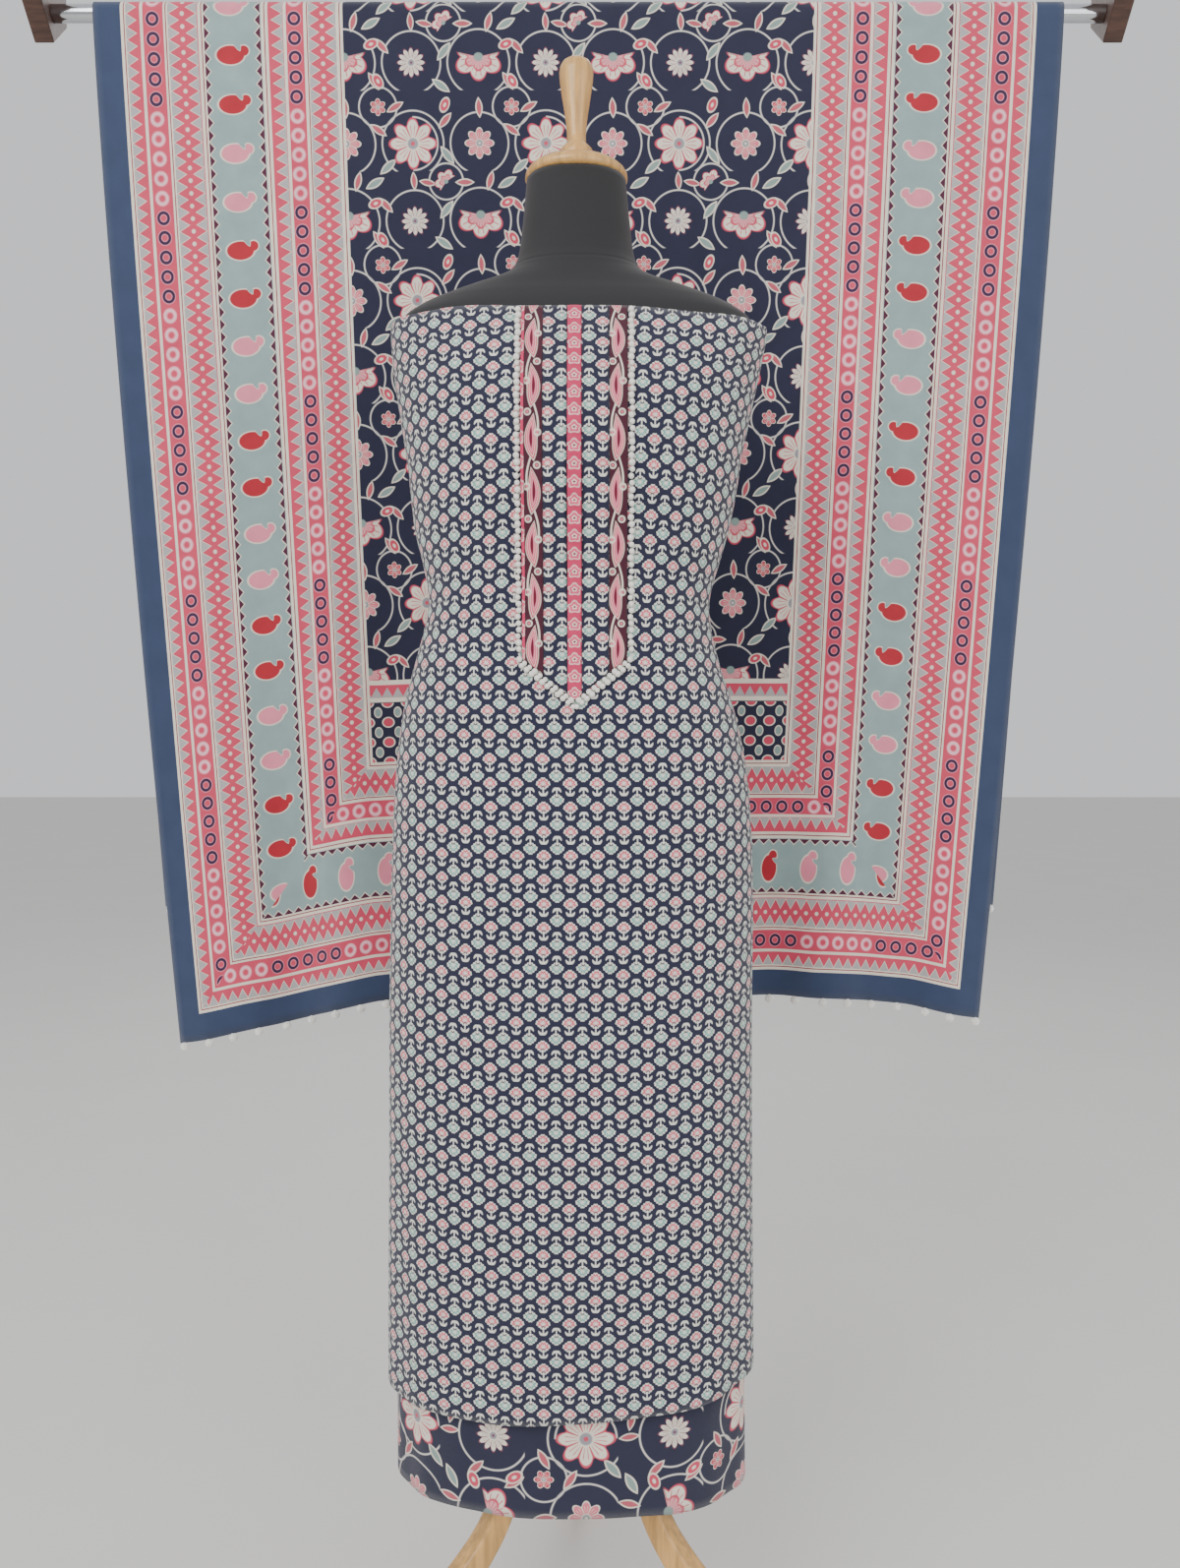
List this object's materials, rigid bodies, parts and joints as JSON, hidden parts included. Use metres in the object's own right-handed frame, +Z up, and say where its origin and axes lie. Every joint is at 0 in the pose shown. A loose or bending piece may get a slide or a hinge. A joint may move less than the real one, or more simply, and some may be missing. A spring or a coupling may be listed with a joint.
{
  "type": "salwar kameez suit on a dress form, with its dupatta on a rod",
  "caption": "Unstitched printed salwar kameez suit wrapped on a dress form, its bordered dupatta with pompom hem hung over a rod behind.",
  "frame": {"origin": "on the floor, under the middle of the whole outline seen from above", "axes": "+Z up, -Y towards the viewer of the suit's front, +X to that viewer's right"},
  "size_m": [1.2246, 0.4116, 1.799],
  "materials": {
    "kameez_print": "matte navy cotton with small pink and teal flowers",
    "yoke_print": "matte navy cotton with small flowers",
    "paisley_print": "matte maroon cotton with paisleys and vines",
    "placket_print": "matte pink printed cotton, gathered",
    "salwar_print": "matte navy cotton with lotus vines",
    "dupatta_print": "soft matte cotton with lotus vines and pink borders",
    "beads": "small glossy white beads",
    "pompom": "fluffy white thread",
    "jersey": "black knitted jersey stretched over the form",
    "maple": "pale lacquered wood",
    "dark_wood": "dark stained wood",
    "steel": "plain steel tube",
    "chrome": "polished tube"
  },
  "bodies": {
    "root": {"kameez_cloth": "kameez_print", "yoke_piping_left": "placket_print", "yoke_paisley_left": "paisley_print", "yoke_panel_left": "yoke_print", "yoke_placket": "placket_print", "yoke_panel_right": "yoke_print", "yoke_paisley_right": "paisley_print", "bead_trim_left": "beads", "bead_trim_right": "beads", "bead_trim_v_left": "beads", "bead_trim_v_right": "beads", "salwar_cloth": "salwar_print", "form_torso": "jersey", "form_neck_cap": "maple", "form_handle": "maple", "form_pole": "steel", "form_hub": "maple", "leg_left": "maple", "leg_right": "maple", "leg_back": "maple", "rod": "chrome", "rod_plate_left": "dark_wood", "rod_plate_right": "dark_wood", "dupatta_front": "dupatta_print", "dupatta_back": "dupatta_print", "dupatta_crown": "dupatta_print", "pompom_fringe_front": "pompom", "pompom_fringe_back": "pompom"}
  },
  "joints": []
}
